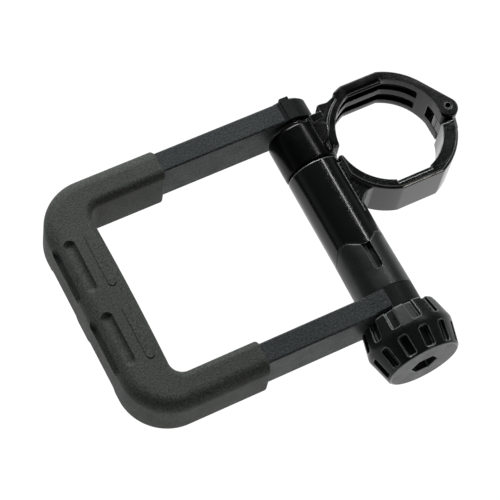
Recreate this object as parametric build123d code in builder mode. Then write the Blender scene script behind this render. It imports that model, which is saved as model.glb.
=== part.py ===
"""Bail-type side handle for a rotary hammer: a U-shaped bail on a two-jaw collar clamp.

Frame: origin at the centre of the collar, at mid height. +Z is the collar's axis, up.
The hand grip lies towards -X, the clamp bolt runs parallel to Y and its knob is at -Y.
All lengths are in millimetres.
"""
import math
import os

from build123d import *

os.makedirs("parts", exist_ok=True)

# ---- collar clamp -------------------------------------------------------------------
bore_r = 33.0            # round part of the collar's inside
upper_bore_x = 1.5       # the upper jaw's bore is struck from a centre nearer the hinge
flat_y = 31.0            # half the distance between its two flats
half_h = 15.5            # half the collar's height
upper_r = 40.2           # outside of the upper jaw
upper_flat = 38.3
rim_r = 37.6             # outside of the narrow rim beside the lug and the tube
shoulder_x = -18.4       # where the upper jaw steps down to the narrow rim
lower_x, lower_r = 1.5, 40.8    # outside of the lower jaw beside the hinge
lower_flat = 37.8
rim_chamfer = 1.3
bore_relief = 3.0        # slope at the bottom of the bore
lead_in = 2.8            # slope at the top and bottom of each flat
split_y = 2.8            # half the split between the jaws, beside the bolt
jaw_left = -35.2         # plane where the lower jaw's rim stops beside the tube
lower_rim_r = 39.0       # outside of the lower jaw's narrow rim
flat_len = 22.8          # length of each flat
slot_low, slot_high = -8.4, 3.9  # lower faces of the two slots in the upper jaw's wall
slot_h = 6.8
slot_deep = 3.4
web_half = 13.0          # half height of the upper jaw's web
lower_web_half = 12.6

# ---- hinge --------------------------------------------------------------------------
pin_x, pin_y = 40.9, -0.2
pin_r = 2.5
pin_gap = 0.05
knuckle_x, knuckle_y = 39.9, -0.6
knuckle_r = 7.0
hinge_flat_x = 34.2      # flat inner wall beside the hinge
fork_in = 6.0            # inner faces of the two fork plates
tongue_half = 5.7
tongue_r = 6.2
fork_root = 8.6
lower_end = -9.0         # end of the lower jaw below the fork

# ---- bolt axis, tube and sleeve -----------------------------------------------------
bolt_x = -48.7
tube_r = 16.9
bolt_r = 5.0
guide_r = 5.9
tube_top = -0.5
lug_r = 17.0
lug_low = 0.7
lug_high = 27.6
swing_x = -30.6          # the bail's eye swings on the -X side of this plane
shoulder_half = 14.6     # half height of the lug's shoulder
shoulder_chamfer = 3.6
pad_half = 16.2          # half height of the square pads on the shoulder
spring_seat_r = 8.8
spring_seat = 9.0
tooth_root = -55.2
tooth_tip = -60.2
sleeve_end = -89.4
sleeve_flare = 17.3
seam = 0.18              # visible gap between the meshed teeth
tooth_narrow, tooth_wide = 3.0, 10.2  # half widths of a crown tooth at its root and its tip
key_floor = 13.5         # height of the keyway's floor above the bolt axis
cavity_r = 12.4          # hollow in the tube and in the sleeve
key_w = 5.2
key_end = 77.4

# ---- bail and grip ------------------------------------------------------------------
arm_w = 13.2
arm_half_h = 16.0
core_w = 10.4            # bail section inside the grip
core_half_h = 12.5
core_out = -207.0        # outer face of the core behind the hand
core_turn = 24.5         # radius of the core's two corners
core_bend = core_turn * (1 - math.sqrt(0.5))
upper_arm_y = 36.2
lower_arm_y = -96.3
arm_end = -53.6          # end of each arm's top face over its eye
tip_start, tip_high = -66.0, 17.6  # the lower arm rises over the sleeve towards its end
tip_w = 11.6
bail_mid_y = (upper_arm_y + lower_arm_y) / 2
boss_r = 16.4
boss_end = 43.6
bush_bore_r = 12.0
grip_end = -134.0         # mouth of each grip sleeve
grip_out = -213.8
grip_in = -185.0
grip_mid_y = -30.8
grip_half_span = 76.9
hand_half_span = 56.4     # half the hand room between the two sleeves
grip_half_h = 19.0
grip_outer_round = 8.6
grip_inner_round = 5.2
grip_outer_corner = 30.0
grip_inner_corner = 8.0
mouth_round = 2.0
groove_r = 4.0
groove_len = 36.0
groove_pitch = 48.8
rib_x = -192.4
rib_w = 5.0
rib_rise = 0.5

# ---- knob ---------------------------------------------------------------------------
knob_top = -104.2
knob_ridge = -118.9
knob_end = -136.0
knob_top_r = 23.9
knob_ridge_r = 26.8
knob_end_r = 22.6
flutes = 12
flute_w = 5.4
flute_deep = 3.0
flute_round = 1.5
flute_turn = 3.0          # angle of the first flute from +Z
hex_af = 15.0
nut_face = -131.0
nut_seat = -122.6
thread_gap = 0.06

bolt_axis = Axis((bolt_x, 0, 0), (0, 1, 0))


def turned(outline):
    """Solid turned about the bolt axis from (radius, y) points."""
    with BuildPart() as body:
        with BuildSketch(Plane.XY):
            with BuildLine():
                Polyline([(bolt_x + r, y) for r, y in outline], close=True)
            make_face()
        revolve(axis=bolt_axis, revolution_arc=360)
    return body.part


def block(x0, x1, y0, y1, z0, z1):
    """Rectangular block between two opposite corners."""
    return Pos((x0 + x1) / 2, (y0 + y1) / 2, (z0 + z1) / 2) * Box(x1 - x0, y1 - y0, z1 - z0)


def tooth_plane(angle):
    """Plane through the bolt axis looking out along a radius, angle measured from +Z."""
    a = math.radians(angle)
    out = (math.sin(a), 0, math.cos(a))
    side = (math.cos(a), 0, -math.sin(a))
    return Plane(origin=(bolt_x, 0, 0), x_dir=side, z_dir=out)


def tooth_wedges(gap):
    """Four radial wedges: the sleeve's crown teeth, or with a gap the spaces they fill."""
    narrow, wide = tooth_narrow + gap, tooth_wide + gap
    slope = (wide - narrow) / (tooth_root - tooth_tip)
    low = tooth_tip - 3.0
    with BuildPart() as wedges:
        for angle in (45, 135, 225, 315):
            with BuildSketch(tooth_plane(angle)):
                Polygon(
                    (-narrow, tooth_root + gap),
                    (narrow, tooth_root + gap),
                    (wide + 3.0 * slope, low),
                    (-wide - 3.0 * slope, low),
                    align=None,
                )
            extrude(amount=20)
    return wedges.part


# ---- plan profiles of the collar ----------------------------------------------------
def bore_plan(centre_x):
    """Inside of the collar: a circle flattened above, below and beside the hinge."""
    with BuildSketch() as plan:
        with Locations((centre_x, 0)):
            Circle(bore_r)
        with Locations(((hinge_flat_x - 40) / 2, 0)):
            Rectangle(hinge_flat_x + 40, 2 * flat_y, mode=Mode.INTERSECT)
    return plan.sketch


upper_bore = bore_plan(upper_bore_x)
lower_bore = bore_plan(0)

# outer line of the fork: common tangent of the ring's outside and the knuckle
centre_gap = math.hypot(knuckle_x, knuckle_y)
fork_turn = math.atan2(knuckle_y, knuckle_x) + math.acos((upper_r - knuckle_r) / centre_gap)
fork_start = (upper_r * math.cos(fork_turn), upper_r * math.sin(fork_turn))
fork_touch = (
    knuckle_x + knuckle_r * math.cos(fork_turn),
    knuckle_y + knuckle_r * math.sin(fork_turn),
)

with BuildSketch() as upper_plan:
    Circle(upper_r)
    with Locations((shoulder_x + 40, (split_y + upper_flat) / 2)):
        Rectangle(80, upper_flat - split_y, mode=Mode.INTERSECT)
    Polygon(
        (24.0, 31.0), fork_start, fork_touch, (knuckle_x, knuckle_y),
        (hinge_flat_x - 1.5, knuckle_y), (20, -1.0), align=None,
    )
    with Locations((knuckle_x, knuckle_y)):
        Circle(knuckle_r)

# narrow rim of the upper jaw, between its step and the split
with BuildSketch() as upper_rim_plan:
    with Locations((upper_bore_x, 0)):
        Circle(rim_r)
    with Locations((-30, 20 + split_y)):
        Rectangle(40, 40, mode=Mode.INTERSECT)

# narrow rim of the lower jaw, between its flat and the tube
with BuildSketch() as lower_rim_plan:
    Circle(lower_rim_r)
    with Locations(((jaw_left + 5) / 2, -split_y - 20)):
        Rectangle(5 - jaw_left, 40, mode=Mode.INTERSECT)
    with Locations((0, -lower_flat - 5)):
        Rectangle(100, 10, mode=Mode.SUBTRACT)

lower_corner_x = -math.sqrt(lower_rim_r ** 2 - lower_flat ** 2)
with BuildSketch() as lower_plan:
    with Locations((lower_x, 0)):
        Circle(lower_r)
    with Locations((lower_corner_x + 40, (-split_y - lower_flat) / 2)):
        Rectangle(80, lower_flat - split_y, mode=Mode.INTERSECT)
    add(lower_rim_plan.sketch)
    with Locations((40, lower_end / 2)):
        Rectangle(40, -lower_end, mode=Mode.SUBTRACT)


def slab(plan, half, chamfer):
    """Block from a plan, symmetric about Z = 0, with both rims chamfered all round."""
    with BuildPart() as blank:
        with BuildSketch(Plane.XY.offset(chamfer - half)):
            add(plan.sketch)
        extrude(amount=2 * (half - chamfer))
        for side in (1, -1):
            with BuildSketch(Plane.XY.offset(side * (half - chamfer))):
                add(plan.sketch)
            extrude(amount=side * chamfer, taper=45)
    return blank.part


def bore_solid(plan, centre_x):
    """Solid to cut the bore, wider towards its lower mouth."""
    with BuildPart() as cut:
        with BuildSketch(Plane.XY.offset(-half_h - 2)):
            add(plan)
        extrude(amount=2 * half_h + 4)
        with BuildSketch(Plane.XY.offset(-half_h)):
            with Locations((centre_x, 0)):
                Circle(bore_r + 0.8 * bore_relief)
            Rectangle(120, 2 * flat_y + 1.6 * bore_relief, mode=Mode.INTERSECT)
        extrude(amount=bore_relief, taper=38.66)
    return cut.part


def lead_in_cuts(side):
    """Sloped lead-ins at both ends of one flat; side is +1 for +Y and -1 for -Y."""
    with BuildPart() as cuts:
        with BuildSketch(Plane.YZ.offset(-flat_len / 2)):
            for end in (1, -1):
                Polygon(
                    (side * (flat_y - 1), end * (half_h + 1)),
                    (side * (flat_y + lead_in + 1), end * (half_h + 1)),
                    (side * (flat_y - 1), end * (half_h - lead_in - 1)),
                    align=None,
                )
        extrude(amount=flat_len)
    return cuts.part


# ---- lower jaw with its long clamp tube ---------------------------------------------
lower_blank = slab(lower_plan, half_h, rim_chamfer)
lower_bore_cut = bore_solid(lower_bore, 0)
tube_blank = turned([
    (0, tube_top), (tube_r - 0.6, tube_top), (tube_r, tube_top - 0.6),
    (tube_r, tooth_tip), (0, tooth_tip),
])
tube_hollow = turned([
    (0, 1), (spring_seat_r, 1), (spring_seat_r, tube_top - spring_seat),
    (guide_r, tube_top - spring_seat), (guide_r, -16), (cavity_r, -19), (cavity_r, -50),
    (guide_r, -53), (guide_r, -62), (0, -62),
])
tooth_spaces = tooth_wedges(seam)

with BuildPart() as lower_jaw:
    add(lower_blank)
    # web between the ring and the tube, lower than the rim, with a rounded foot
    with BuildSketch(Plane.XY.offset(-lower_web_half)):
        with BuildLine():
            Polyline((-33, -6), (-45, -6), (-45, -40), (-36.6, -40))
            ThreePointArc((-36.6, -40), (-33.6, -31.6), (-24.6, -29.4))
            Polyline((-24.6, -29.4), (-20, -30), (-33, -6))
        make_face()
    extrude(amount=2 * lower_web_half)
    add(tube_blank)
    # hinge tongue
    with BuildSketch(Plane.XY.offset(-tongue_half)):
        with Locations((pin_x - 0.4, pin_y)):
            Circle(tongue_r)
        Polygon((34.4, -15), (34.4, -2.0), (40, -0.8), (46.2, -2.6), (43.4, -12), align=None)
    extrude(amount=2 * tongue_half)
    add(tube_hollow, mode=Mode.SUBTRACT)
    add(tooth_spaces, mode=Mode.SUBTRACT)
    add(lower_bore_cut, mode=Mode.SUBTRACT)
    add(lead_in_cuts(-1), mode=Mode.SUBTRACT)
    with BuildSketch(Plane.XY.offset(-half_h)):
        with Locations((pin_x, pin_y)):
            Circle(pin_r)
    extrude(amount=2 * half_h, mode=Mode.SUBTRACT)
lower_jaw.part.label = "lower_jaw"
export_step(lower_jaw.part, "parts/lower_jaw.step")

# ---- upper jaw with its bolt lug ----------------------------------------------------
upper_blank = slab(upper_plan, half_h, rim_chamfer)
upper_rim = slab(upper_rim_plan, half_h, rim_chamfer)
upper_bore_cut = bore_solid(upper_bore, upper_bore_x)
lug_blank = turned([
    (0, lug_low), (lug_r - 1.2, lug_low), (lug_r, lug_low + 1.2), (lug_r, lug_high - 3.6),
    (lug_r - 1.1, lug_high - 1.1), (lug_r - 3.6, lug_high), (0, lug_high),
])
# rounded shoulder on the ring side of the lug
with BuildSketch() as shoulder_plan:
    with BuildLine():
        Line((-46, 4), (-38.0, 5.6))
        ThreePointArc((-38.0, 5.6), (-30.6, 11.8), (-28.6, 20.0))
        Polyline((-28.6, 20.0), (-29.0, lug_high), (-46, lug_high), (-46, 4))
    make_face()
shoulder = slab(shoulder_plan, shoulder_half, shoulder_chamfer)
fork_gap = block(28, 50, -12, fork_root, -fork_in, fork_in)
swing_room = block(-75, swing_x, lug_high, 60, -30, 30)
lug_hollow = turned([
    (0, -1), (spring_seat_r, -1), (spring_seat_r, lug_low + spring_seat),
    (guide_r, lug_low + spring_seat), (guide_r, lug_high + 1), (0, lug_high + 1),
])

with BuildPart() as upper_jaw:
    add(upper_blank)
    add(upper_rim)
    # web between the ring and the lug
    with BuildSketch(Plane.XY.offset(-web_half)):
        Polygon(
            (-34, split_y + 1), (-46, split_y + 1), (-46, 27.0), (-31.4, 32.8), (-29.3, 33.2),
            (-24.0, 32.6), (-18.3, 34.8), (-17, 30), (-20, 26), align=None,
        )
    extrude(amount=2 * web_half)
    add(lug_blank)
    add(shoulder)
    # square pads at the top and bottom of the shoulder
    with BuildSketch(Plane.XY.offset(-pad_half)):
        Polygon(
            (-39.4, 21.8), (-39.4, lug_high), (-31.0, lug_high), (-31.4, 22.8), align=None
        )
    extrude(amount=2 * pad_half)
    add(lug_hollow, mode=Mode.SUBTRACT)
    add(upper_bore_cut, mode=Mode.SUBTRACT)
    # two lightening slots along the inner wall
    for z in (slot_low, slot_high):
        with BuildSketch(Plane.XY.offset(z)):
            with Locations((upper_bore_x, 0)):
                Circle(bore_r + slot_deep)
            with Locations((5.5, (16.5 + 35.2) / 2)):
                Rectangle(50, 35.2 - 16.5, mode=Mode.INTERSECT)
        extrude(amount=slot_h, mode=Mode.SUBTRACT)
    add(lead_in_cuts(1), mode=Mode.SUBTRACT)
    # fork for the hinge tongue
    add(fork_gap, mode=Mode.SUBTRACT)
    # room for the bail's eye and arm to swing past
    add(swing_room, mode=Mode.SUBTRACT)
    with BuildSketch(Plane.XY.offset(-half_h)):
        with Locations((pin_x, pin_y)):
            Circle(pin_r + pin_gap)
    extrude(amount=2 * half_h, mode=Mode.SUBTRACT)
upper_jaw.part.label = "upper_jaw"
export_step(upper_jaw.part, "parts/upper_jaw.step")

# ---- hinge pin: slotted spring pin --------------------------------------------------
with BuildPart() as hinge_pin:
    with BuildSketch(Plane.XY.offset(-half_h + 0.3)):
        with Locations((pin_x, pin_y)):
            Circle(pin_r)
            Circle(pin_r - 0.9, mode=Mode.SUBTRACT)
        with Locations((pin_x + pin_r, pin_y)):
            Rectangle(3.0, 0.8, mode=Mode.SUBTRACT)
    extrude(amount=2 * half_h - 0.6)
hinge_pin.part.label = "hinge_pin"
export_step(hinge_pin.part, "parts/hinge_pin.step")

# ---- toothed sleeve that locks the bail's angle --------------------------------------
sleeve_blank = turned([
    (guide_r, tooth_root), (tube_r, tooth_root), (tube_r, tooth_tip), (sleeve_flare, sleeve_end),
    (guide_r, sleeve_end), (guide_r, -85), (cavity_r, -82), (cavity_r, -66), (guide_r, -63),
])
sleeve_body = turned([
    (0, tooth_tip - seam), (30, tooth_tip - seam), (30, sleeve_end - 2), (0, sleeve_end - 2),
])
tooth_solids = tooth_wedges(0)
sleeve_stock = sleeve_blank & (tooth_solids + sleeve_body)

with BuildPart() as detent_sleeve:
    add(sleeve_stock)
    # long rounded keyway that opens at the teeth
    with BuildSketch(Plane.XY.offset(key_floor)):
        with Locations((bolt_x, -64)):
            Rectangle(key_w, 2 * (key_end - key_w / 2 - 64))
        with Locations((bolt_x, -key_end + key_w / 2)):
            Circle(key_w / 2)
    extrude(amount=6, mode=Mode.SUBTRACT)
detent_sleeve.part.label = "detent_sleeve"
export_step(detent_sleeve.part, "parts/detent_sleeve.step")

# ---- bail: two arms, their eyes and the core inside the grip --------------------------
upper_eye = turned([
    (0, upper_arm_y - arm_w / 2), (boss_r, upper_arm_y - arm_w / 2), (boss_r, boss_end - 1.6),
    (boss_r - 1.6, boss_end), (0, boss_end),
])
lower_eye = turned([
    (0, sleeve_end - 0.3), (sleeve_flare, sleeve_end - 0.3),
    (sleeve_flare, lower_arm_y - arm_w / 2 + 0.5), (sleeve_flare - 0.5, lower_arm_y - arm_w / 2),
    (0, lower_arm_y - arm_w / 2),
])

eye_bores = turned([
    (0, 60), (bush_bore_r, 60), (bush_bore_r, 20), (0, 20),
]) + turned([
    (0, sleeve_end + 10), (bolt_r + 0.3, sleeve_end + 10), (bolt_r + 0.3, knob_top), (0, knob_top),
])

# moulded band over the upper eye
eye_band = block(
    bolt_x - 2.2, bolt_x + 3.4, upper_arm_y - arm_w / 2, boss_end + 0.6, 12.5, boss_r + 0.6
)

# rounded tip of the lower arm, lying proud over its eye
with BuildPart() as arm_tip:
    with BuildSketch(Plane.XY.offset(-tip_high)):
        with Locations(((tip_start + arm_end) / 2, lower_arm_y + (arm_w - tip_w) / 2 - 0.2)):
            RectangleRounded(arm_end - tip_start, tip_w, 2.0)
    extrude(amount=2 * tip_high)
    with BuildSketch(Plane.XZ.offset(-lower_arm_y)) as tip_side:
        Polygon(
            (tip_start, arm_half_h), (arm_end - 1.2, tip_high), (arm_end, tip_high - 0.4),
            (arm_end, 0.4 - tip_high), (arm_end - 1.2, -tip_high), (tip_start, -arm_half_h),
            align=None,
        )
    extrude(amount=arm_w, both=True, mode=Mode.INTERSECT)

with BuildPart() as bail_frame:
    for y in (upper_arm_y, lower_arm_y):
        with BuildSketch(Plane.YZ.offset(grip_end - 3)):
            with Locations((y, 0)):
                RectangleRounded(arm_w, 2 * arm_half_h, 1.2)
        extrude(amount=arm_end - grip_end + 3)
        # thinner core where the grip is moulded round the arm
        with BuildSketch(Plane.YZ.offset(-204)):
            with Locations((y, 0)):
                RectangleRounded(core_w, 2 * core_half_h, 1.2)
        extrude(amount=204 + grip_end - 3)
    with BuildSketch(Plane.XY.offset(-core_half_h)):
        with Locations((-198, bail_mid_y)):
            Rectangle(17, upper_arm_y - lower_arm_y + core_w)
    extrude(amount=2 * core_half_h)
    # round the two outer corners inside the grip
    with BuildSketch(Plane.XY.offset(-20)):
        for y, way in ((upper_arm_y + core_w / 2, 1), (lower_arm_y - core_w / 2, -1)):
            with BuildLine():
                Line((core_out - 0.5, y - way * core_turn), (core_out - 0.5, y + way))
                Line((core_out - 0.5, y + way), (core_out + core_turn, y + way))
                Line((core_out + core_turn, y + way), (core_out + core_turn, y))
                ThreePointArc(
                    (core_out + core_turn, y),
                    (core_out + core_bend, y - way * core_bend),
                    (core_out, y - way * core_turn),
                )
                Line((core_out, y - way * core_turn), (core_out - 0.5, y - way * core_turn))
            make_face()
    extrude(amount=40, mode=Mode.SUBTRACT)
    add(upper_eye)
    add(lower_eye)
    add(eye_band)
    add(arm_tip)
    add(eye_bores, mode=Mode.SUBTRACT)
bail_frame.part.label = "bail_frame"
export_step(bail_frame.part, "parts/bail_frame.step")

# ---- soft grip moulded over the bail ---------------------------------------------------


def grip_groove(x, z, tilt, depth, side):
    """Two round-bottomed grooves in line along the bar, sunk along a tilted direction."""
    a = math.radians(tilt)
    lift = groove_r - depth
    cx, cz = x - lift * math.cos(a), side * (z + lift * math.sin(a))
    straight = groove_len - 2 * groove_r
    with BuildPart() as grooves:
        for along in (groove_pitch / 2, -groove_pitch / 2):
            y = grip_mid_y + along
            with Locations(Location((cx, y, cz), (90, 0, 0))):
                Cylinder(groove_r, straight)
            with Locations((cx, y + straight / 2, cz), (cx, y - straight / 2, cz)):
                Sphere(groove_r)
    return grooves.part


with BuildPart() as grip_sleeve:
    with BuildSketch(Plane.XY.offset(-grip_half_h)) as grip_plan:
        with BuildLine():
            Polyline(
                (grip_end, grip_mid_y + hand_half_span),
                (grip_end, grip_mid_y + grip_half_span),
                (grip_out, grip_mid_y + grip_half_span),
                (grip_out, grip_mid_y - grip_half_span),
                (grip_end, grip_mid_y - grip_half_span),
                (grip_end, grip_mid_y - hand_half_span),
                (grip_in, grip_mid_y - hand_half_span),
            )
            ThreePointArc(
                (grip_in, grip_mid_y - hand_half_span),
                (grip_in + 0.9, grip_mid_y),
                (grip_in, grip_mid_y + hand_half_span),
            )
            Line((grip_in, grip_mid_y + hand_half_span), (grip_end, grip_mid_y + hand_half_span))
        make_face()
        outer_corners = grip_plan.vertices().filter_by_position(Axis.X, grip_out - 1, grip_out + 1)
        fillet(outer_corners, radius=grip_outer_corner)
        inner_corners = grip_plan.vertices().filter_by_position(Axis.X, grip_in - 1, grip_in + 1)
        fillet(inner_corners, radius=grip_inner_corner)
    extrude(amount=2 * grip_half_h)
    rims = grip_sleeve.faces().filter_by(Axis.Z).edges()
    mid = grip_mid_y
    inner_rims = [
        e for e in rims
        if (e @ 0.5).X < grip_end - 1
        and (e @ 0.5).X > grip_in - 4
        and abs((e @ 0.5).Y - mid) < hand_half_span + 1
    ]
    outer_rims = [e for e in rims if e not in inner_rims and (e @ 0.5).X < grip_end - 1]
    fillet(outer_rims, radius=grip_outer_round)
    rims = grip_sleeve.faces().filter_by(Axis.Z).edges()
    inner_rims = [
        e for e in rims
        if (e @ 0.5).X < grip_end - 1
        and (e @ 0.5).X > grip_in - 4
        and abs((e @ 0.5).Y - mid) < hand_half_span + 1
    ]
    fillet(inner_rims, radius=grip_inner_round)
    mouths = grip_sleeve.faces().filter_by(Axis.X).sort_by(Axis.X)[-2:]
    fillet(mouths.edges(), radius=mouth_round)
    for side in (1, -1):
        add(grip_groove(-204.6, grip_half_h - 0.1, 82, 2.4, side), mode=Mode.SUBTRACT)
        add(grip_groove(-212.6, 12.4, 26, 2.2, side), mode=Mode.SUBTRACT)
        # slim raised ribs on the hand side
        with BuildSketch(Plane.XY.offset(side * (grip_half_h - 1))):
            with Locations((rib_x, mid + groove_pitch / 2), (rib_x, mid - groove_pitch / 2)):
                SlotOverall(groove_len, rib_w, rotation=90)
        extrude(amount=side * (1 + rib_rise))
    add(bail_frame.part, mode=Mode.SUBTRACT)
grip_sleeve.part.label = "grip_sleeve"
export_step(grip_sleeve.part, "parts/grip_sleeve.step")

# ---- clamp bolt, its bush, washer and spring -------------------------------------------
bush_low, bush_high = lug_high + 0.4, 34.6
head_high = 41.6

with BuildPart() as bolt_bush:
    add(turned([
        (bolt_r + 0.4, bush_low), (bush_bore_r - 0.6, bush_low), (bush_bore_r - 0.1, bush_low + 0.5),
        (bush_bore_r - 0.1, bush_high), (bolt_r + 0.4, bush_high),
    ]))
bolt_bush.part.label = "bolt_bush"
export_step(bolt_bush.part, "parts/bolt_bush.step")

with BuildPart() as clamp_bolt:
    add(turned([
        (0, bush_high), (bolt_r, bush_high), (bolt_r, nut_face - 0.6), (bolt_r - 1.0, nut_face - 1.6),
        (0, nut_face - 1.6),
    ]))
    with BuildSketch(Plane.XZ.offset(-bush_high)):
        with Locations((bolt_x, 0)):
            RegularPolygon(hex_af / 2, 6, major_radius=False)
    extrude(amount=-(head_high - bush_high))
clamp_bolt.part.label = "clamp_bolt"
export_step(clamp_bolt.part, "parts/clamp_bolt.step")

with BuildPart() as thrust_washer:
    add(turned([
        (bolt_r + 0.5, lower_arm_y - arm_w / 2 - 0.3), (11.0, lower_arm_y - arm_w / 2 - 0.3),
        (11.0, knob_top - 0.6), (bolt_r + 0.5, knob_top - 0.6),
    ]))
thrust_washer.part.label = "thrust_washer"
export_step(thrust_washer.part, "parts/thrust_washer.step")

spring_low = tube_top - spring_seat + 0.2
spring_high = lug_low + spring_seat - 0.9
spring_wire = 0.7
spring_mean_r = 7.4

with BuildPart() as jaw_spring:
    with BuildLine() as coil:
        Helix(
            pitch=(spring_high - spring_low - 2 * spring_wire) / 5,
            height=spring_high - spring_low - 2 * spring_wire,
            radius=spring_mean_r,
            center=(bolt_x, spring_low + spring_wire, 0),
            direction=(0, 1, 0),
        )
    with BuildSketch(Plane(origin=coil.line @ 0, z_dir=coil.line % 0)):
        Circle(spring_wire)
    sweep(is_frenet=True)
jaw_spring.part.label = "jaw_spring"
export_step(jaw_spring.part, "parts/jaw_spring.step")

# ---- clamp knob with its pressed-in nut ------------------------------------------------
knob_blank = turned([
    (0, knob_top), (knob_top_r - 1.6, knob_top), (knob_top_r - 0.4, knob_top - 0.5),
    (knob_top_r, knob_top - 1.6), (knob_ridge_r - 0.25, knob_ridge + 1.4),
    (knob_ridge_r, knob_ridge), (knob_ridge_r - 0.25, knob_ridge - 1.4),
    (knob_end_r + 0.35, knob_end + 1.4), (knob_end_r - 0.8, knob_end), (0, knob_end),
])
knob_bore = turned([
    (0, knob_top + 1), (11.6, knob_top + 1), (11.6, knob_top - 0.9), (bolt_r + 0.4, knob_top - 0.9),
    (bolt_r + 0.4, nut_seat - 1), (0, nut_seat - 1),
])


def flute_plane(radius, y, lean):
    """Plane 4 mm above the knob's side at +Z, tipped by the slope of that tier."""
    a = math.radians(lean)
    out = (0, math.sin(a), math.cos(a))
    return Plane(
        origin=(bolt_x, y + 4 * out[1], radius + 4 * out[2]), x_dir=(1, 0, 0), z_dir=out
    )


upper_lean = math.degrees(math.atan2(knob_ridge_r - knob_top_r, knob_top - knob_ridge))
lower_lean = -math.degrees(math.atan2(knob_ridge_r - knob_end_r, knob_ridge - knob_end))
with BuildPart() as flute_pair:
    with BuildSketch(flute_plane(knob_top_r, knob_top, upper_lean)):
        with Locations((0, -4.4)):
            RectangleRounded(flute_w, 16.0, flute_round)
    extrude(amount=-flute_deep - 4)
    with BuildSketch(flute_plane(knob_end_r, knob_end, lower_lean)):
        with Locations((0, 8.0)):
            RectangleRounded(flute_w, 12.4, flute_round)
    extrude(amount=-flute_deep - 4)

with BuildPart() as knob_body:
    add(knob_blank)
    for i in range(flutes):
        add(flute_pair.part.rotate(bolt_axis, flute_turn + i * 360 / flutes), mode=Mode.SUBTRACT)
    add(knob_bore, mode=Mode.SUBTRACT)
    with BuildSketch(Plane.XZ.offset(-nut_seat)):
        with Locations((bolt_x, 0)):
            RegularPolygon(hex_af / 2, 6, major_radius=False)
    extrude(amount=nut_seat - knob_end + 1, mode=Mode.SUBTRACT)
knob_body.part.label = "knob_body"
export_step(knob_body.part, "parts/knob_body.step")

with BuildPart() as knob_nut:
    with BuildSketch(Plane.XZ.offset(-nut_seat)):
        with Locations((bolt_x, 0)):
            RegularPolygon(hex_af / 2 - 0.02, 6, major_radius=False)
            Circle(bolt_r + thread_gap, mode=Mode.SUBTRACT)
    extrude(amount=nut_seat - nut_face)
knob_nut.part.label = "knob_nut"
export_step(knob_nut.part, "parts/knob_nut.step")
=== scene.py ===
"""Looks of the bail side handle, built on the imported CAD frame. Lengths are in metres."""
import math

import bmesh
import bpy
from mathutils import Matrix, Vector


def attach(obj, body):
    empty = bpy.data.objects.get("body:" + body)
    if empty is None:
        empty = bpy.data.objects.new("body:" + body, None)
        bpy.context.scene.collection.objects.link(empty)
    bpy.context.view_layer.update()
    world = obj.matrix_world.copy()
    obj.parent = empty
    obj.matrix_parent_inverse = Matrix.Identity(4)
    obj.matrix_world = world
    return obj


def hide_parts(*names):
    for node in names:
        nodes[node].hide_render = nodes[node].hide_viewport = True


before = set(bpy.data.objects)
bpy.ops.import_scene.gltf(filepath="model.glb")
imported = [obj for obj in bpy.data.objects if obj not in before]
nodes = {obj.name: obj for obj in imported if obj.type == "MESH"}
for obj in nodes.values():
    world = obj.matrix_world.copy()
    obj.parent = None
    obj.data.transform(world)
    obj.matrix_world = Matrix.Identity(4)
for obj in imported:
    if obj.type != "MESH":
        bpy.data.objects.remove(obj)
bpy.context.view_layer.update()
scene = bpy.context.scene

ARM_END = -0.0536         # X at which the bail's arms end over their eyes, and the painted shade on the eyes begins
SHADE_FADE = 0.0004        # width of the change into the painted shade on the bail's eyes
MOTTLE = 0.12             # how far a moulding's colour goes either way, as a share of it
SCUFF_STRETCH = (220.0, 5200.0, 220.0)    # fine along Y, so the scuffs run across the tube
SCUFF_DEPTH = 0.00002
SWELL_DEPTH = 0.0002      # slow unevenness of a moulded face
TARNISH = 0.78            # colour of a stain, as a share of the clean metal's
BRUSH_DEPTH = 0.00003

MERGE_GAP = 2e-6          # CAD points closer than this become one
SHORT_EDGE = 1e-6         # edges shorter than this are removed
FLAT_ANGLE = 0.4          # degrees, below which neighbouring faces join
BEVEL_SEGMENTS = 2

FLOOR_HALF = 6.0
FLOOR_Z = -0.19           # just below the bail when it swings straight down
LIGHT_AIM = Vector((-0.09, -0.03, 0))

AZIMUTH, ELEVATION, ROLL, DISTANCE = -39.163, 63.772, 13.102, 1.2904
TARGET = Vector((-0.10653, -0.02997, 0.0))
LENS, SENSOR = 160.2, 36.0                # millimetres


# ---- materials ---------------------------------------------------------------------
def node_tree(name):
    """New material, with its nodes, its links and its shader."""
    mat = bpy.data.materials.new(name)
    mat.use_nodes = True
    tree = mat.node_tree
    return mat, tree.nodes, tree.links, tree.nodes["Principled BSDF"]


def noise(n, ln, coords, scale, detail, rough=0.55, stretch=None):
    """Noise texture in object space; stretch scales its three axes."""
    if stretch:
        m = n.new("ShaderNodeMapping")
        m.inputs["Scale"].default_value = stretch
        ln.new(coords, m.inputs["Vector"])
        coords = m.outputs["Vector"]
    t = n.new("ShaderNodeTexNoise")
    t.inputs["Scale"].default_value = scale
    t.inputs["Detail"].default_value = detail
    t.inputs["Roughness"].default_value = rough
    ln.new(coords, t.inputs["Vector"])
    return t.outputs["Fac"]


def ramp(n, ln, fac, span, first, last):
    """Map fac from the two ends of span to first..last, clamped."""
    r = n.new("ShaderNodeMapRange")
    r.inputs["From Min"].default_value, r.inputs["From Max"].default_value = span
    r.inputs["To Min"].default_value = first
    r.inputs["To Max"].default_value = last
    ln.new(fac, r.inputs["Value"])
    return r.outputs["Result"]


def two_tone(n, ln, first, last, fac):
    """Colour that goes from first to last as fac goes from 0 to 1."""
    mix = n.new("ShaderNodeMixRGB")
    mix.inputs["Color1"].default_value = (*first, 1)
    mix.inputs["Color2"].default_value = (*last, 1)
    ln.new(fac, mix.inputs["Fac"])
    return mix.outputs["Color"]


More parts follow.
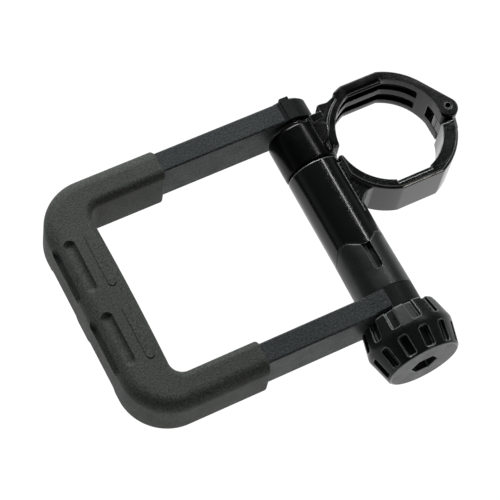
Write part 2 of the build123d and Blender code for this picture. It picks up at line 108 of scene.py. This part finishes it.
def bump(n, ln, height, strength, distance, below=None):
    """Bump from height, laid over the normal below it if there is one."""
    b = n.new("ShaderNodeBump")
    b.inputs["Strength"].default_value = strength
    b.inputs["Distance"].default_value = distance
    ln.new(height, b.inputs["Height"])
    if below is not None:
        ln.new(below, b.inputs["Normal"])
    return b.outputs["Normal"]


def moulded(name, color, rough, rough_span, grain, grain_depth, spec,
            streaks=0.0, speckle=0.0, eye_shade=1.0):
    """Moulded plastic or rubber: mottled colour, uneven gloss, speckle and a fine grain.

    grain is the scale of the grain's noise. streaks is the strength of the scuffs.
    The last argument scales the colour of whatever lies beyond the ends of the bail's arms, a
    painted shade on the eyes where shade falls beside the jaws.
    """
    mat, n, ln, bsdf = node_tree(name)
    coords = n.new("ShaderNodeTexCoord").outputs["Object"]

    cloud = noise(n, ln, coords, scale=38.0, detail=6.0, rough=0.6)
    mottled = two_tone(
        n, ln,
        [c * (1 - MOTTLE) for c in color], [c * (1 + MOTTLE) for c in color],
        ramp(n, ln, cloud, (0.3, 0.7), 0.0, 1.0),
    )
    fine = noise(n, ln, coords, scale=grain, detail=3.0, rough=0.6)
    tone = ramp(n, ln, fine, (0.32, 0.68), 1.0 - speckle, 1.0 + speckle)
    # painted shade: darker colour on the bail's eyes, beyond the ends of its arms
    if eye_shade != 1.0:
        split = n.new("ShaderNodeSeparateXYZ")
        ln.new(coords, split.inputs["Vector"])
        product = n.new("ShaderNodeMath")
        product.operation = "MULTIPLY"
        ln.new(tone, product.inputs[0])
        eyes = (ARM_END, ARM_END + SHADE_FADE)
        ln.new(ramp(n, ln, split.outputs["X"], eyes, 1.0, eye_shade), product.inputs[1])
        tone = product.outputs["Value"]
    dots = n.new("ShaderNodeMixRGB")
    dots.blend_type = "MULTIPLY"
    dots.inputs["Fac"].default_value = 1.0
    ln.new(mottled, dots.inputs["Color1"])
    ln.new(tone, dots.inputs["Color2"])
    ln.new(dots.outputs["Color"], bsdf.inputs["Base Color"])

    patch = noise(n, ln, coords, scale=95.0, detail=5.0, rough=0.65)
    gloss = ramp(n, ln, patch, (0.3, 0.72), rough - rough_span, rough + rough_span)
    ln.new(gloss, bsdf.inputs["Roughness"])
    bsdf.inputs["Specular IOR Level"].default_value = spec

    normal = bump(n, ln, fine, strength=0.55, distance=grain_depth)
    if streaks:
        scuff = noise(n, ln, coords, scale=1.0, detail=2.0, rough=0.5, stretch=SCUFF_STRETCH)
        lines = ramp(n, ln, scuff, (0.6, 0.75), 0.0, 1.0)
        normal = bump(n, ln, lines, strength=streaks, distance=SCUFF_DEPTH, below=normal)
    swell = noise(n, ln, coords, scale=60.0, detail=2.0, rough=0.5)
    normal = bump(n, ln, swell, strength=0.25, distance=SWELL_DEPTH, below=normal)
    ln.new(normal, bsdf.inputs["Normal"])
    return mat


def metal(name, color, rough, stretch):
    """Plated or blackened steel with slight tarnish, brushed along every axis of low stretch."""
    mat, n, ln, bsdf = node_tree(name)
    coords = n.new("ShaderNodeTexCoord").outputs["Object"]
    stain = noise(n, ln, coords, scale=160.0, detail=5.0)
    plating = two_tone(
        n, ln, [c * TARNISH for c in color], color, ramp(n, ln, stain, (0.35, 0.6), 0.0, 1.0)
    )
    ln.new(plating, bsdf.inputs["Base Color"])
    lines = noise(n, ln, coords, scale=1.0, detail=2.0, rough=0.5, stretch=stretch)
    gloss = ramp(n, ln, lines, (0.3, 0.7), rough - 0.07, rough + 0.09)
    ln.new(gloss, bsdf.inputs["Roughness"])
    ln.new(bump(n, ln, lines, strength=0.3, distance=BRUSH_DEPTH), bsdf.inputs["Normal"])
    bsdf.inputs["Metallic"].default_value = 1.0
    return mat


jaw_mat = moulded("jaw_gloss", (0.0050, 0.0055, 0.0055), rough=0.15, rough_span=0.05,
                  grain=900.0, grain_depth=0.00001, spec=0.45, streaks=0.6)
lug_mat = moulded("lug_gloss", (0.0014, 0.0016, 0.0016), rough=0.25, rough_span=0.07,
                  grain=1600.0, grain_depth=0.00004, spec=0.20, streaks=0.2)
# the frame's eyes get a painted shade, 0.22 of its colour
nylon_mat = moulded("frame_nylon", (0.035, 0.040, 0.041), rough=0.46, rough_span=0.07,
                    grain=1000.0, grain_depth=0.00018, spec=0.10, speckle=0.65, eye_shade=0.22)
sleeve_mat = moulded("sleeve_nylon", (0.0062, 0.0080, 0.0078), rough=0.38, rough_span=0.08,
                     grain=1100.0, grain_depth=0.00010, spec=0.5, speckle=0.5)
rubber_mat = moulded("grip_rubber", (0.056, 0.061, 0.056), rough=0.57, rough_span=0.06,
                     grain=1050.0, grain_depth=0.00022, spec=0.08, speckle=0.5)
knob_mat = moulded("knob_plastic", (0.0090, 0.0110, 0.0105), rough=0.30, rough_span=0.08,
                   grain=1100.0, grain_depth=0.00007, spec=0.17, speckle=0.5)
# painted highlights: edges paler and glossier than the faces beside them, standing in for light
# catching them; the frame's edges also take the painted shade on the eyes
jaw_edge_highlight = moulded("jaw_edge_highlight", (0.075, 0.080, 0.078), rough=0.22, rough_span=0.06,
                   grain=1600.0, grain_depth=0.00003, spec=0.6, speckle=0.4)
sleeve_edge_highlight = moulded("sleeve_edge_highlight", (0.040, 0.047, 0.045), rough=0.34, rough_span=0.08,
                      grain=1600.0, grain_depth=0.00005, spec=0.5, speckle=0.5)
nylon_edge_highlight = moulded("frame_edge_highlight", (0.055, 0.063, 0.064), rough=0.40, rough_span=0.07,
                     grain=1600.0, grain_depth=0.00008, spec=0.4, speckle=0.5, eye_shade=0.5)
knob_edge_highlight = moulded("knob_edge_highlight", (0.085, 0.098, 0.094), rough=0.30, rough_span=0.07,
                    grain=1600.0, grain_depth=0.00006, spec=0.6, speckle=0.5)
zinc_mat = metal("steel_zinc", (0.50, 0.49, 0.46), rough=0.34, stretch=(1800.0, 60.0, 1800.0))
black_mat = metal("steel_black", (0.09, 0.09, 0.095), rough=0.36, stretch=(60.0, 60.0, 2600.0))
spring_mat = metal("spring_steel", (0.32, 0.32, 0.31), rough=0.30, stretch=(1800.0, 1800.0, 60.0))


# ---- finished copies of the CAD pieces ---------------------------------------------
def finished(name, mat, body, width, angle=28.0, clamp=False, highlight_edge_mat=None):
    """Copy of a CAD node with merged points and softly rounded edges, which may take a painted
    highlight.

    Edges that turn by more than angle degrees are rounded, width metres wide. clamp stops
    a rounding where it would run into the next.
    """
    src = nodes[name]
    mesh = src.data.copy()
    obj = bpy.data.objects.new(name + "_skin", mesh)
    scene.collection.objects.link(obj)
    bm = bmesh.new()
    bm.from_mesh(mesh)
    bmesh.ops.remove_doubles(bm, verts=bm.verts, dist=MERGE_GAP)
    bmesh.ops.dissolve_degenerate(bm, edges=bm.edges, dist=SHORT_EDGE)
    bmesh.ops.dissolve_limit(
        bm, angle_limit=math.radians(FLAT_ANGLE), verts=bm.verts, edges=bm.edges
    )
    bm.to_mesh(mesh)
    bm.free()
    for p in mesh.polygons:
        p.use_smooth = True
    if mesh.has_custom_normals:
        # zeros hand the shading back to Blender's own normals
        mesh.normals_split_custom_set([(0, 0, 0)] * len(mesh.loops))
    mesh.materials.clear()
    mesh.materials.append(mat)
    if highlight_edge_mat:
        mesh.materials.append(highlight_edge_mat)
    bev = obj.modifiers.new("edges", "BEVEL")
    bev.width = width
    bev.segments = BEVEL_SEGMENTS
    bev.limit_method = "ANGLE"
    bev.angle_limit = math.radians(angle)
    bev.use_clamp_overlap = clamp
    # the rounded edges take the painted highlight material, if there is one
    bev.material = 1 if highlight_edge_mat else -1
    wn = obj.modifiers.new("normals", "WEIGHTED_NORMAL")
    wn.keep_sharp = True
    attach(obj, body)
    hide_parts(name)


def as_cad(name, mat):
    """CAD node shown as it is, with a material."""
    obj = nodes[name]
    obj.data.materials.clear()
    obj.data.materials.append(mat)


finished("lower_jaw", jaw_mat, "lower_jaw", 0.0004, highlight_edge_mat=jaw_edge_highlight)
finished("upper_jaw", lug_mat, "upper_jaw", 0.0004, angle=50.0, highlight_edge_mat=jaw_edge_highlight)
finished("detent_sleeve", sleeve_mat, "lower_jaw", 0.0004, highlight_edge_mat=sleeve_edge_highlight)
finished("bail_frame", nylon_mat, "bail", 0.0006, clamp=True, highlight_edge_mat=nylon_edge_highlight)
finished("grip_sleeve", rubber_mat, "bail", 0.0005, angle=50.0, clamp=True)
finished("knob_body", knob_mat, "knob", 0.0006, highlight_edge_mat=knob_edge_highlight)
finished("knob_nut", zinc_mat, "knob", 0.0002)
finished("clamp_bolt", zinc_mat, "bolt", 0.0003)
finished("bolt_bush", zinc_mat, "bolt", 0.0002)
finished("thrust_washer", zinc_mat, "knob", 0.0001)
finished("hinge_pin", black_mat, "lower_jaw", 0.0002)
as_cad("jaw_spring", spring_mat)


# ---- floor, light and camera --------------------------------------------------------
def floor():
    """Pale sheet, lit by itself so that it stays even."""
    me = bpy.data.meshes.new("floor")
    s, z = FLOOR_HALF, FLOOR_Z
    me.from_pydata([(-s, -s, z), (s, -s, z), (s, s, z), (-s, s, z)], [], [(0, 1, 2, 3)])
    o = bpy.data.objects.new("floor", me)
    scene.collection.objects.link(o)
    mat, n, ln, bsdf = node_tree("floor_paper")
    coords = n.new("ShaderNodeTexCoord").outputs["Object"]
    grain = noise(n, ln, coords, scale=300.0, detail=3.0)
    ln.new(ramp(n, ln, grain, (0.3, 0.7), 0.85, 0.95), bsdf.inputs["Roughness"])
    bsdf.inputs["Base Color"].default_value = (0.05, 0.05, 0.05, 1)
    bsdf.inputs["Specular IOR Level"].default_value = 0.1
    bsdf.inputs["Emission Color"].default_value = (1, 1, 1, 1)
    bsdf.inputs["Emission Strength"].default_value = 1.0
    me.materials.append(mat)


def area(name, direction, distance, size, power, color=(1, 1, 1), along=(0, 1, 0)):
    """Soft box whose light comes from the given direction, its length laid along an axis."""
    z = Vector(direction).normalized()
    y = (Vector(along) - z * z.dot(Vector(along))).normalized()
    lamp = bpy.data.lights.new(name, "AREA")
    lamp.shape = "RECTANGLE"
    lamp.size, lamp.size_y = size
    lamp.energy = power
    lamp.color = color
    o = bpy.data.objects.new(name, lamp)
    facing = Matrix((y.cross(z), y, z)).transposed().to_4x4()
    o.matrix_world = Matrix.Translation(LIGHT_AIM + z * distance) @ facing
    scene.collection.objects.link(o)


def studio_walls():
    """Dim surroundings: grey up to 13 degrees over the horizon, almost black from 30 degrees."""
    world = bpy.data.worlds.new("studio")
    scene.world = world
    world.use_nodes = True
    n, ln = world.node_tree.nodes, world.node_tree.links
    coords = n.new("ShaderNodeTexCoord").outputs["Generated"]
    split = n.new("ShaderNodeSeparateXYZ")
    ln.new(coords, split.inputs["Vector"])
    strength = ramp(n, ln, split.outputs["Z"], (0.22, 0.5), 0.20, 0.03)
    bg = n["Background"]
    bg.inputs["Color"].default_value = (0.97, 0.98, 1.0, 1)
    ln.new(strength, bg.inputs["Strength"])


floor()
studio_walls()
area("key_strip", (0.57, 0.345, 0.745), distance=1.7, size=(0.10, 1.2), power=6.0)
area("top_box", (0.10, 0.80, 0.55), distance=1.9, size=(1.3, 0.6), power=46.0,
     color=(0.98, 1.0, 0.99))
area("front_box", (0.36, -0.86, 0.37), distance=1.6, size=(0.12, 0.45), power=2.6,
     color=(1.0, 0.95, 0.88), along=(1, 0, 0))

scene.view_settings.view_transform = "Standard"

azimuth, elevation = math.radians(AZIMUTH), math.radians(ELEVATION)
back = Vector((
    math.sin(azimuth) * math.cos(elevation),
    -math.cos(azimuth) * math.cos(elevation),
    math.sin(elevation),
))
cam = bpy.data.cameras.new("camera")
cam.sensor_width = SENSOR
cam.lens = LENS
cam_obj = bpy.data.objects.new("camera", cam)
scene.collection.objects.link(cam_obj)
level = (-back).to_track_quat("-Z", "Y").to_matrix()
turn = Matrix.Rotation(math.radians(ROLL), 3, "Z")
cam_obj.matrix_world = Matrix.Translation(TARGET + back * DISTANCE) @ (level @ turn).to_4x4()
scene.camera = cam_obj
